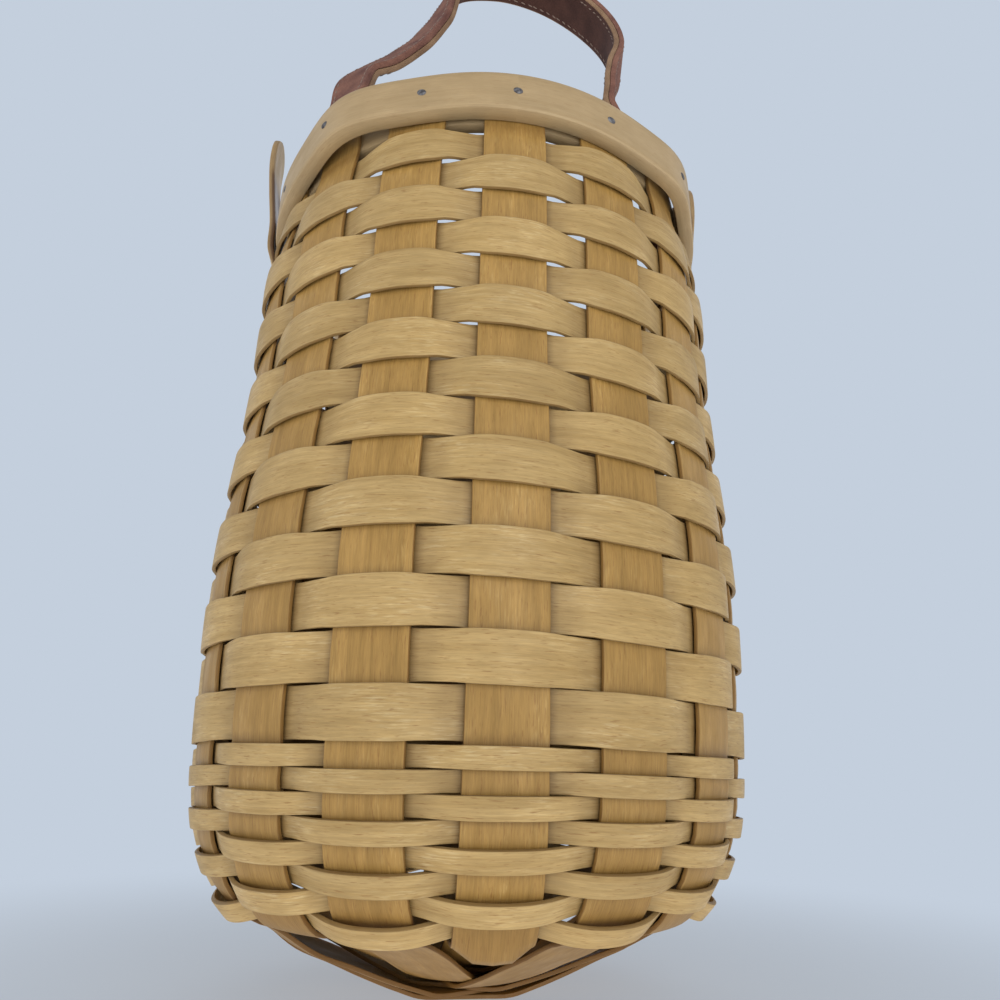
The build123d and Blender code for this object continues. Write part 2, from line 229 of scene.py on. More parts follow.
@dataclass(frozen=True)
class AshSplint(Finish):
    """Ash riven along the grain, scraped, oiled and aged to honey.

    Riving follows the fibres, so the eye sees short fine fibres and brown pores that all run
    along the splint, a painted sheen on clouds of pale fibres, and painted shade in hollows and edges.
    Real pores are 0.1 mm wide; they are drawn near 0.3 mm, so that they show.
    """

    early: str = "B69B69"
    late: str = "9E8250"
    pore: str = "80592C"
    # colour of the painted shade in hollows, behind other splints and along edges
    painted_shade: str = "5E4222"
    # colour of the painted sheen, on clouds of pale fibres
    pale: str = "CBB990"
    streak_mm: Pair = (38.0, 1.6)
    fibre_mm: Pair = (5.0, 0.30)
    pore_mm: Pair = (3.4, 0.34)
    cloud_mm: Pair = (17.0, 9.0)
    sheen_mm: Pair = (4.2, 0.42)
    sheen_share: float = 0.55
    fibre_dark: float = 0.87
    pore_share: float = 0.55
    streak_share: float = 0.75
    streak_half: float = 0.2
    gather_range: Pair = (0.46, 0.66)
    sheen_range: Pair = (0.50, 0.72)
    pore_range: Pair = (0.60, 0.71)
    level_range: Pair = (0.30, 0.70)
    rough_range: Pair = (0.35, 0.65)
    cloud_level: Pair = (0.92, 1.07)
    tone_level: Pair = (0.94, 1.06)
    tone_shift: float = 40.0
    roughness: float = 0.5
    fibre_height: float = 0.00007

    def pattern(self, tree: NodeTree, grain: NodeSocket,
                size_mm: Pair, detail: float) -> NodeSocket:
        """Noise drawn out along the splint.

        Args:
            tree: the material's tree.
            grain: the grain coordinates in millimetres.
            size_mm: the pattern's size along and across the grain.
            detail: octaves of the noise.

        Returns:
            The noise's value socket.
        """
        place = add_node(tree, "ShaderNodeMapping", {}, {
            "Vector": grain, "Scale": (1 / size_mm[0], 1 / size_mm[1], 1.0)})
        return add_node(tree, "ShaderNodeTexNoise", {"noise_dimensions": "3D"}, {
            "Vector": place.outputs[0], "Scale": 1.0, "Detail": detail, "Roughness": 0.55}).outputs[0]

    def shade(self, tree: NodeTree) -> NodeSocket:
        """Lays the wood's nodes."""
        uv = add_node(tree, "ShaderNodeUVMap", {"uv_map": GRAIN_UV}).outputs[0]
        tone = add_node(tree, "ShaderNodeAttribute", {"attribute_name": TONE}).outputs["Fac"]
        # painted shade: the share of the shade colour laid over the wood
        depth = add_node(tree, "ShaderNodeAttribute", {"attribute_name": PAINTED_SHADE_ATTRIBUTE}).outputs["Fac"]
        shift = add_node(tree, "ShaderNodeCombineXYZ", {}, {"Z": tone}).outputs[0]
        grain = add_node(tree, "ShaderNodeVectorMath", {"operation": "MULTIPLY_ADD"}, {
            0: shift, 1: (0.0, 0.0, self.tone_shift), 2: uv}).outputs[0]
        streak, fibre, pore, cloud, sheen = [self.pattern(tree, grain, size, detail) for size, detail in (
            (self.streak_mm, 3.0), (self.fibre_mm, 4.0), (self.pore_mm, 2.0), (self.cloud_mm, 3.0),
            (self.sheen_mm, 3.0))]
        half = self.streak_half / self.streak_share
        bands, gather, sheen_mask, fleck, rough, *scales = [
            add_node(tree, "ShaderNodeMapRange", {}, {
                "Value": value, "From Min": low, "From Max": high,
                "To Min": start, "To Max": end}).outputs[0]
            for value, (low, high), (start, end) in (
                (streak, (0.5 - half, 0.5 + half), (0.0, 1.0)),
                (cloud, self.gather_range, (0.0, 1.0)),
                (sheen, self.sheen_range, (0.0, self.sheen_share)),
                (pore, self.pore_range, (0.0, self.pore_share)),
                (cloud, self.rough_range, (self.roughness + 0.1, self.roughness - 0.05)),
                (fibre, self.level_range, (self.fibre_dark, 2 - self.fibre_dark)),
                (cloud, self.level_range, self.cloud_level),
                (tone, (0.0, 1.0), self.tone_level))]
        # painted sheen: pale fibres gathered in clouds stand in for the wood's satin highlights
        sheen_mask = add_node(tree, "ShaderNodeMath", {"operation": "MULTIPLY"}, {
            0: gather, 1: sheen_mask}).outputs[0]
        # fibres, clouds and each splint's own tone scale the colour; pores and the painted shade of hollows
        # lie over it
        wood: Any = linear(self.late)
        for share, colour in ((bands, self.early), (sheen_mask, self.pale),
                              *((scale, None) for scale in scales),
                              (fleck, self.pore), (depth, self.painted_shade)):
            if colour:
                wood = add_node(tree, "ShaderNodeMix", {"data_type": "RGBA"}, {
                    0: share, 6: wood, 7: linear(colour)}).outputs[2]
            else:
                wood = add_node(tree, "ShaderNodeVectorMath", {"operation": "SCALE"}, {
                    0: wood, "Scale": share}).outputs[0]
        bump = add_node(tree, "ShaderNodeBump", {}, {
            "Height": fibre, "Strength": 0.6, "Distance": self.fibre_height}).outputs[0]
        return add_node(tree, "ShaderNodeBsdfPrincipled", {}, {
            "Base Color": wood, "Roughness": rough, "Normal": bump, "IOR": 1.5,
            "Specular IOR Level": 0.4}).outputs[0]


@dataclass(frozen=True)
class TannedLeather(Finish):
    """Thick bridle leather. Its nap or grain shows as a fine pebble, with hairs finer still."""

    base: str
    high: str
    pebble_mm: float = 0.9
    hairs: float = 1.4  # times as fine as the pebble
    cloud_mm: float = 9.0
    roughness: float = 0.7
    relief: float = 0.0002

    def shade(self, tree: NodeTree) -> NodeSocket:
        """Lays the leather's nodes."""
        place = add_node(tree, "ShaderNodeTexCoord").outputs["Object"]
        cloud = add_node(tree, "ShaderNodeTexNoise", {}, {
            "Vector": place, "Scale": MM_PER_M / self.cloud_mm, "Detail": 4.0}).outputs[0]
        pebble = add_node(tree, "ShaderNodeTexVoronoi", {"feature": "SMOOTH_F1"}, {
            "Vector": place, "Scale": MM_PER_M / self.pebble_mm, "Smoothness": 0.6}).outputs[0]
        nap = add_node(tree, "ShaderNodeTexNoise", {}, {
            "Vector": place, "Scale": self.hairs * MM_PER_M / self.pebble_mm, "Detail": 3.0}).outputs[0]
        mixed = add_node(tree, "ShaderNodeMath", {"operation": "MULTIPLY_ADD"}, {
            0: nap, 1: 0.5, 2: cloud}).outputs[0]
        share = add_node(tree, "ShaderNodeMapRange", {}, {
            "Value": mixed, "From Min": 0.55, "From Max": 0.95}).outputs[0]
        colour = add_node(tree, "ShaderNodeMix", {"data_type": "RGBA"}, {
            0: share, 6: linear(self.base), 7: linear(self.high)}).outputs[2]
        height = add_node(tree, "ShaderNodeMath", {"operation": "MULTIPLY_ADD"}, {
            0: pebble, 1: 0.6, 2: nap}).outputs[0]
        bump = add_node(tree, "ShaderNodeBump", {}, {
            "Height": height, "Strength": 0.7, "Distance": self.relief})
        return add_node(tree, "ShaderNodeBsdfPrincipled", {}, {
            "Base Color": colour, "Roughness": self.roughness, "Normal": bump.outputs[0],
            "IOR": 1.45, "Specular IOR Level": 0.35}).outputs[0]


@dataclass(frozen=True)
class DrawnMetal(Finish):
    """Wire-drawn metal with a struck head, dulled by handling and by tannin in the wood."""

    base: str
    dull: str
    roughness: float = 0.42
    stains_per_m: float = 900.0

    def shade(self, tree: NodeTree) -> NodeSocket:
        """Lays the metal's nodes."""
        place = add_node(tree, "ShaderNodeTexCoord").outputs["Object"]
        stain = add_node(tree, "ShaderNodeTexNoise", {}, {
            "Vector": place, "Scale": self.stains_per_m, "Detail": 4.0}).outputs[0]
        share = add_node(tree, "ShaderNodeMapRange", {}, {
            "Value": stain, "From Min": 0.4, "From Max": 0.62}).outputs[0]
        colour = add_node(tree, "ShaderNodeMix", {"data_type": "RGBA"}, {
            0: share, 6: linear(self.base), 7: linear(self.dull)}).outputs[2]
        rough = add_node(tree, "ShaderNodeMapRange", {}, {
            "Value": stain, "From Min": 0.3, "From Max": 0.7,
            "To Min": self.roughness, "To Max": self.roughness + 0.25}).outputs[0]
        bump = add_node(tree, "ShaderNodeBump", {}, {
            "Height": stain, "Strength": 0.3, "Distance": 0.0001})
        return add_node(tree, "ShaderNodeBsdfPrincipled", {}, {
            "Base Color": colour, "Roughness": rough, "Metallic": 0.85,
            "Normal": bump.outputs[0]}).outputs[0]


@dataclass(frozen=True)
class WaxedThread(Finish):
    """Waxed linen thread: two plies, pale, with a faint twist."""

    name: str = "waxed_linen_thread"
    base: str = "8E7A70"
    dark: str = "6F5B52"
    plies_per_m: float = 2200.0

    def shade(self, tree: NodeTree) -> NodeSocket:
        """Lays the thread's nodes."""
        place = add_node(tree, "ShaderNodeTexCoord").outputs["Object"]
        twist = add_node(tree, "ShaderNodeTexWave", {}, {
            "Vector": place, "Scale": self.plies_per_m, "Distortion": 2.0}).outputs["Fac"]
        colour = add_node(tree, "ShaderNodeMix", {"data_type": "RGBA"}, {
            0: twist, 6: linear(self.dark), 7: linear(self.base)}).outputs[2]
        bump = add_node(tree, "ShaderNodeBump", {}, {
            "Height": twist, "Strength": 0.3, "Distance": 0.00005})
        return add_node(tree, "ShaderNodeBsdfPrincipled", {}, {
            "Base Color": colour, "Roughness": 0.7, "Normal": bump.outputs[0]}).outputs[0]


@dataclass(frozen=True)
class MattPaper(Finish):
    """Seamless studio paper: half matt near the basket, so that it keeps the shadow, and one even
    tone further off. To rays that don't show it, it glows with a soft warm light from below, though it is no
    lamp."""

    name: str = "studio_paper"
    base: str = "CAD2DE"
    far: str = "C4CFDD"
    fade_m: Pair = (0.08, 0.34)
    near_share: float = 0.5
    warm: str = "FFFAF0"
    glow: float = 1.0

    def shade(self, tree: NodeTree) -> NodeSocket:
        """Lays the paper's nodes."""
        place = add_node(tree, "ShaderNodeTexCoord").outputs["Object"]
        away = add_node(tree, "ShaderNodeVectorMath", {"operation": "LENGTH"}, {0: place}).outputs["Value"]
        fade = add_node(tree, "ShaderNodeMapRange", {"interpolation_type": "SMOOTHSTEP"}, {
            "Value": away, "From Min": self.fade_m[0], "From Max": self.fade_m[1],
            "To Min": self.near_share}).outputs[0]
        seen = seen_directly(tree)
        share = add_node(tree, "ShaderNodeMath", {"operation": "MULTIPLY"}, {
            0: fade, 1: seen}).outputs[0]
        # glow: for rays that don't show the paper, it shines like a lamp from below
        strength = add_node(tree, "ShaderNodeMapRange", {}, {
            "Value": seen, "To Min": self.glow, "To Max": 0.0}).outputs[0]
        paper_glow = add_node(tree, "ShaderNodeEmission", {}, {
            "Color": linear(self.warm), "Strength": strength})
        matt = add_node(tree, "ShaderNodeBsdfPrincipled", {}, {
            "Base Color": linear(self.base), "Roughness": 0.95, "Specular IOR Level": 0.1})
        even = add_node(tree, "ShaderNodeEmission", {}, {"Color": linear(self.far), "Strength": 1.0})
        lit = add_node(tree, "ShaderNodeAddShader", {}, {0: matt.outputs[0], 1: paper_glow.outputs[0]})
        return add_node(tree, "ShaderNodeMixShader", {}, {
            0: share, 1: lit.outputs[0], 2: even.outputs[0]}).outputs[0]


def seen_directly(tree: NodeTree) -> NodeSocket:
    """One for rays that show the backdrop itself, in gloss and glass too.

    Args:
        tree: the node tree.

    Returns:
        The value's socket.
    """
    rays = add_node(tree, "ShaderNodeLightPath")
    seen = rays.outputs["Is Camera Ray"]
    for other in ("Is Glossy Ray", "Is Transmission Ray"):
        seen = add_node(tree, "ShaderNodeMath", {"operation": "MAXIMUM"}, {
            0: seen, 1: rays.outputs[other]}).outputs[0]
    return seen


# Strips: every splint, band and strap is one section carried along a path


@dataclass(frozen=True)
class Section:
    """Flat rectangular section with eased corners, in millimetres."""

    width: float
    thickness: float
    ease: float
    cup: float = 0.0
    inset: float = 1.6  # eases from the flat face's end to its next line
    corner: float = 0.29  # share of the ease that a corner's middle lies in from each face
    flat_steps: int = 6

    def outline(self) -> list[Pair]:
        """Points around the section.

        Returns:
            Across and outward offsets, counted round the section.
        """
        half, thick, ease = self.width / 2, self.thickness / 2, self.ease
        flat = half - ease
        shelf = flat - self.inset * ease
        row = [-flat, -shelf, -shelf / 2, 0.0, shelf / 2, shelf, flat]
        bowed = [(x, thick - self.cup * (x / half) ** 2) for x in row]
        soft = ease * self.corner
        side = [(half - soft, thick - soft - self.cup), (half, thick - ease - self.cup),
                (half, ease - thick - self.cup), (half - soft, soft - thick - self.cup)]
        under = [(x, -thick - self.cup * (x / half) ** 2) for x in reversed(row)]
        return bowed + side + under + [(-x, y) for x, y in reversed(side)]

    def on_side(self, step: int) -> bool:
        """Whether one step round the section lies on a narrow side."""
        return step % (len(self.outline()) // 2) >= self.flat_steps


@dataclass
class Spot:
    """One place along a strip's path, in millimetres.

    wide and thick scale the section. depth is painted shade on the whole splint, inside more of it on its
    inner face.
    slide moves a point by its place across the splint.
    """

    at: Vector
    across: Vector
    out: Vector
    along: float
    wide: float = 1.0
    thick: float = 1.0
    depth: float = 0.0
    inside: float = 0.0
    slide: Callable[[float], Vector] | None = None


@dataclass(frozen=True)
class RimSet:
    """How a hand-bent rim stands off a true circle, in millimetres and degrees.

    The whole rim is a little narrow from side to side. The outer hoop also stands off the
    uprights at two shoulders, each with its middle, its spread and how far it stands off.
    """

    narrow: float = 3.0
    shoulders: tuple[Triple, ...] = ()
    low: float = 212.0
    full: float = 243.0

    def push(self, azimuth: float, height: float) -> float:
        """How far a point is moved out from the axis.

        Args:
            azimuth: angle from the front.
            height: height above the ground.

        Returns:
            Millimetres, negative where the rim is pressed in.
        """
        off = -self.narrow * math.sin(azimuth) ** 2
        turn = math.degrees(azimuth) - 360 * round(math.degrees(azimuth) / 360)
        for middle, spread, rise in self.shoulders:
            off += rise * math.exp(-((turn - middle) / spread) ** 2)
        return off * smooth_step(self.low, self.full, height)

    def moved(self, point: Vector) -> Vector:
        """Moves a point with the rim.

        Args:
            point: a place on the woven body.

        Returns:
            Where the bent rim carries it.
        """
        radius = math.hypot(point.x, point.y)
        if point.z < self.low or radius < 1.0:
            return point
        share = self.push(math.atan2(point.x, -point.y), point.z) / radius
        return point + Vector((point.x * share, point.y * share, 0.0))


@dataclass
class Strip:
    """A strip made of one section carried along its spots."""

    name: str
    section: Section
    spots: list[Spot]
    closed: bool = False
    tone: float = 0.5
    # painted shade along both edges of a splint, where splints meet
    painted_edge_shade: float = 0.45
    bent: RimSet | None = RimSet()
    paint: Callable[[int, int], int] | None = None

    def build(self, materials: Sequence[Material]) -> Object:
        """Makes the strip's object.

        Args:
            materials: the materials, picked by the strip's paint.

        Returns:
            The linked object, with its place in its mesh.
        """
        ring = self.section.outline()
        long, round_ = len(self.spots) - 1, len(ring)
        bm = bmesh.new()
        uv = bm.loops.layers.uv.new(GRAIN_UV)
        tone = bm.verts.layers.float.new(TONE)
        depth = bm.verts.layers.float.new(PAINTED_SHADE_ATTRIBUTE)
        bmesh.ops.create_grid(bm, x_segments=long, y_segments=round_, size=1.0)
        girth = [0.0]
        for (x0, y0), (x1, y1) in zip(ring, ring[1:] + ring[:1]):
            girth.append(girth[-1] + math.hypot(x1 - x0, y1 - y0))
        place = {v: (round((v.co.x + 1) / 2 * long), round((v.co.y + 1) / 2 * round_))
                 for v in bm.verts}
        for face in bm.faces:
            face.smooth = True
            cells = [place[v] for v in face.verts]
            if self.paint:
                face.material_index = self.paint(min(c[0] for c in cells), min(c[1] for c in cells))
            for loop in face.loops:
                i, j = place[loop.vert]
                loop[uv].uv = (self.spots[i].along, girth[j])
        for v, (i, j) in place.items():
            spot = self.spots[i]
            x, y = ring[j % round_]
            # painted shade: the spot's share, with more on the inner face
            hidden = spot.depth + (spot.inside if y < 0 else 0.0)
            x *= spot.wide
            point = spot.at + spot.across * x + spot.out * (y * spot.thick)
            if spot.slide:
                point += spot.slide(x)
            v.co = (self.bent.moved(point) if self.bent else point) * MM
            v[tone] = self.tone
            # painted shade also darkens both edges
            on_edge = abs(ring[j % round_][0]) > self.section.width / 2 - self.section.ease / 2
            v[depth] = min(1.0, hidden + (self.painted_edge_shade if on_edge else 0.0))
        bmesh.ops.remove_doubles(bm, verts=bm.verts, dist=1e-7)
        if not self.closed:
            rims = [e for e in bm.edges if len(e.link_faces) == 1]
            bmesh.ops.edgeloop_fill(bm, edges=rims)
        bmesh.ops.recalc_face_normals(bm, faces=bm.faces)
        return finished(self.name, bm, materials)


def smoothed(bm: BMesh) -> BMesh:
    """Sets every face of a mesh to smooth shading and gives the mesh back."""
    for face in bm.faces:
        face.smooth = True
    return bm


def linked(name: str, data: bpy.types.ID) -> Object:
    """Puts a mesh, lamp or camera into the scene as an object."""
    made = bpy.data.objects.new(name, data)
    bpy.context.scene.collection.objects.link(made)
    return made


def finished(name: str, bm: BMesh,
             materials: Sequence[Material], crease: float = 38.0) -> Object:
    """Turns a bmesh into a linked object.

    Args:
        name: the object's name.
        bm: the mesh in metres, which is freed.
        materials: its materials in order.
        crease: edges sharper than this many degrees stay crisp.

    Returns:
        The object at the origin.
    """
    mesh = bpy.data.meshes.new(name)
    bm.to_mesh(mesh)
    bm.free()
    mesh.set_sharp_from_angle(angle=math.radians(crease))
    for material in materials:
        mesh.materials.append(material)
    return linked(name, mesh)


def settle(made: Object, slot: str, *nodes: str) -> None:
    """Puts a piece on the woven body in place of its plain nodes.

    Args:
        made: the piece.
        slot: the record's material slot; not used.
        nodes: the nodes that it stands for.
    """
    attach(made, WOVEN_BODY)
    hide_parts(*nodes)
    LOG.info("%s: %d faces for %s", made.name, len(made.data.polygons), ", ".join(nodes))


@dataclass(frozen=True)
class Pin:
    """A domed head on a round shank, in millimetres; the head is given by its half sizes."""

    head: Triple
    head_sides: int
    radius: float
    long: float
    sides: int

    def add(self, bm: BMesh, head_at: Matrix, shank_at: Matrix) -> list[BMVert]:
        """Adds one pin to a mesh.

        Args:
            bm: the mesh in metres.
            head_at: place and turn of the head's middle.
            shank_at: place and turn of the shank's middle.

        Returns:
            The head's vertices.
        """
        dome = bmesh.ops.create_uvsphere(
            bm, u_segments=self.head_sides, v_segments=self.head_sides // 2, radius=MM,
            matrix=head_at @ Matrix.Diagonal((*self.head, 1.0)))
        bmesh.ops.create_cone(
            bm, cap_ends=True, segments=self.sides, radius1=self.radius * MM,
            radius2=self.radius * MM, depth=self.long * MM, matrix=shank_at)
        return dome["verts"]


# The woven body


@dataclass(frozen=True)
class Wall:
    """The shape that every splint follows, in millimetres."""

    join: float = 64.0
    stack: float = 48.5
    layer_pitch: float = 1.25
    splint: float = 1.05
    flat: float = 11.0
    upper: tuple[Pair, ...] = (
        (78.2, 258.2), (78.2, 252.0), (78.2, 245.5), (79.3, 236.0), (79.9, 222.0),
        (79.9, 172.0), (83.0, 112.0), (80.9, 62.0), (80.0, 53.0), (77.9, 43.0),
        (72.3, 31.0), (65.6, 23.7))
    dish: tuple[Pair, ...] = (
        (60.0, 17.1), (48.5, 12.7), (39.0, 9.0), (29.0, 4.9), (19.0, 1.35))

    def lift(self, radius: float, order: int) -> float:
        """Height of one stake above the middle layer where they cross."""
        share = smooth_step(0.0, 1.0, (self.join - radius) / (self.join - self.stack))
        return share * self.layer_pitch * ((LONG_STAKES - 1) / 2 - order)

    def half(self, order: int) -> list[Vector]:
        """Middle line of half a stake.

        Args:
            order: the stake's place in the stack, 0 uppermost.

        Returns:
            Radius and height from the rim to the basket's middle.
        """
        under = self.splint / 2 - self.lift(0.0, LONG_STAKES - 1)
        low = [(s, z + under + self.lift(s, order)) for s, z in self.dish]
        centre = under + self.lift(0.0, order)
        low += [(self.flat, centre), (self.flat / 2, centre), (0.0, centre)]
        return [Vector((r, 0.0, z)) for r, z in (*self.upper, *low)]


class Former:
    """Looks up the wall's radius and slope at a height."""

    def __init__(self, wall: Wall) -> None:
        """Samples the wall once.

        Args:
            wall: the wall's sizes.
        """
        self.wall = wall
        self.table = sorted((p.z, p.x) for p in smooth_path(wall.half(0), 0.5) if p.x > wall.join - 3)

    def radius(self, height: float) -> float:
        """Radius of the uprights' middle at a height."""
        low, high = 0, len(self.table) - 1
        while high - low > 1:
            mid = (low + high) // 2
            low, high = (mid, high) if self.table[mid][0] <= height else (low, mid)
        (z0, r0), (z1, r1) = self.table[low], self.table[high]
        return r0 + (r1 - r0) * min(1.0, max(0.0, (height - z0) / (z1 - z0)))

    def slope(self, height: float) -> float:
        """How fast the radius grows with height."""
        return (self.radius(height + 1.5) - self.radius(height - 1.5)) / 3


@dataclass(frozen=True)
class Row:
    """One closed weaver; it is widest over and behind an upright and pinched where rows cross."""

    node: str
    number: int
    height: float
    width: float
    swell: float

    @property
    def over(self) -> Over:
        """Side of the front upright that the row passes."""
        return Over.FRONT if self.number % 2 == 0 else Over.BEHIND


@dataclass
class WeavePlan:
    """Places of all rows, from the rim down."""

    wide_rows: int = 15
    narrow_rows: int = 8
    low_wide: float = 70.6
    wide_pitch: float = 12.4
    taper: float = 0.11
    top_narrow: float = 61.5
    narrow_pitch: float = 5.02
    narrow_most: float = 5.9
    gap: float = 0.25
    narrow_gap: float = 0.12
    wide_splint: float = 12.6
    narrow_splint: float = 5.2

    def rows(self, former: Former) -> list[Row]:
        """Works out every row's place.

        Args:
            former: the wall's shape.

        Returns:
            The rows from the rim down, counted from one.
        """
        wide, height = [], self.low_wide
        for k in range(self.wide_rows):
            pitch = self.wide_pitch - self.taper * k
            wide.append((height, pitch - self.taper / 2 - self.gap))
            height += pitch
        rows = [Row(f"wide_weaver_{n:02d}", n, z, w, self.wide_splint / w - 1)
                for n, (z, w) in enumerate(reversed(wide), 1)]
        for n in range(1, self.narrow_rows + 1):
            z = self.top_narrow - (n - 1) * self.narrow_pitch
            lean = math.hypot(1.0, former.slope(z))
            width = min(self.narrow_pitch * lean - self.narrow_gap, self.narrow_most)
            rows.append(Row(f"narrow_weaver_{n}", self.wide_rows + n, z, width,
                            max(0.0, self.narrow_splint / width - 1)))
        return rows


@dataclass
class Weavers:
    """The rows that go round, each over one upright and under the next."""

    former: Former
    plan: WeavePlan = field(default_factory=WeavePlan)
    thickness: float = 1.1
    splint: float = 1.05
    half_width: float = 9.5
    clear: float = 0.3
    flatness: float = 1.0
    steps: int = 16
    seed: int = 11
    # hand work's small differences: share of the swing, rise in mm and share of the width
    uneven: float = 0.05
    ripple: float = 0.10
    vary: float = 0.012
    # painted shade where a row turns inward, and where it lies behind an upright
    painted_shades: Pair = (0.2, 0.6)
    ease: float = 0.16
    cup: float = 0.06
    drift_heights: Quad = (20.0, 60.0, 205.0, 250.0)
    # each wave's size, times round the basket, phase, and the height that shifts it by a radian
    drift_waves: tuple[tuple[float, int, float, float], ...] = (
        (0.75, 2, 1.1, 60.0), (0.5, 3, -0.6, -80.0), (0.3, 5, 0.0, 45.0))

    def swing(self, radius: float) -> float:
        """How far a row swings so that it just clears an upright's edges."""
        edge = self.wave(math.atan(self.half_width / radius))
        return ((self.splint + self.thickness) / 2 + self.clear) / edge

    def wave(self, angle: float) -> float:
        """Swing's share at an angle: flat over an upright and quick between two."""
        return math.tanh(self.flatness * math.cos(LONG_STAKES * angle)) / math.tanh(self.flatness)

    def drift(self, angle: float, height: float) -> float:
        """Slow rise and fall that neighbouring rows share."""
        waves = (size * math.sin(times * angle + phase + height / turn)
                 for size, times, phase, turn in self.drift_waves)
        return hump(self.drift_heights, height) * sum(waves)

    def path(self, row: Row, draw: random.Random) -> list[Spot]:
        """Lays one row round the basket.

        Args:
            row: the row.
            draw: seeded source of small differences.

        Returns:
            The strip's spots, closed on themselves.
        """
        radius, slope = self.former.radius(row.height), self.former.slope(row.height)
        lean = math.hypot(1.0, slope)
        swing = self.swing(radius)
        count = UPRIGHTS * self.steps
        uneven = [draw.uniform(-1, 1) for _ in range(UPRIGHTS)]
        ripple = [draw.uniform(-1, 1) for _ in range(UPRIGHTS)]

        def own(values: list[float], angle: float) -> float:
            """Smooth lookup of one value for each upright."""
            place = angle / (2 * math.pi) * UPRIGHTS
            k = math.floor(place)
            share = smooth_step(0.0, 1.0, place - k)
            return values[k % UPRIGHTS] * (1 - share) + values[(k + 1) % UPRIGHTS] * share

        def centre(angle: float) -> Vector:
            """Middle of the strip at an angle."""
            off = row.over.value * swing * self.wave(angle) * (1 + self.uneven * own(uneven, angle))
            up = self.drift(angle, row.height) + self.ripple * own(ripple, angle)
            r = radius + off / lean + slope * up
            return Vector((r * math.sin(angle), -r * math.cos(angle),
                           row.height + up - off * slope / lean))

        step = 2 * math.pi / UPRIGHTS
        start = math.pi + 2 * step * draw.choice((-1, 0, 1)) + (step if row.over is Over.FRONT else 0.0)
        spots, run = [], 0.0
        before = centre(start)
        for k in range(count + 1):
            angle = start + 2 * math.pi * (k % count) / count
            here = centre(angle)
            run += (here - before).length
            before = here
            ahead = centre(angle + 0.004) - centre(angle - 0.004)
            radial = facing(angle)
            across = (radial * slope + Vector((0, 0, 1))) / lean
            out = ahead.normalized().cross(across)
            out = out if out.dot(radial) > 0 else -out
            inward = -row.over.value * math.cos(LONG_STAKES * angle)
            spread = smooth_step(0.35, 0.95, abs(self.wave(angle)))
            wide = 1 - self.vary + self.vary * own(ripple, angle) + row.swell * spread
            # painted shade where the row turns inward and where it lies behind an upright
            spots.append(Spot(here, across, out, run, wide,
                              depth=self.painted_shades[0] * smooth_step(-0.3, 0.3, inward)
                              + self.painted_shades[1] * smooth_step(0.35, 0.75, inward)))
        return spots

    def build(self, material: Material) -> None:
        """Makes every row.

        Args:
            material: the splint's material.
        """
        draw = random.Random(self.seed)
        for row in self.plan.rows(self.former):
            section = Section(row.width, self.thickness, self.ease, self.cup)
            strip = Strip(row.node + "_splint", section, self.path(row, draw), True, draw.random())
            settle(strip.build([material]), "splint_weaver", row.node)


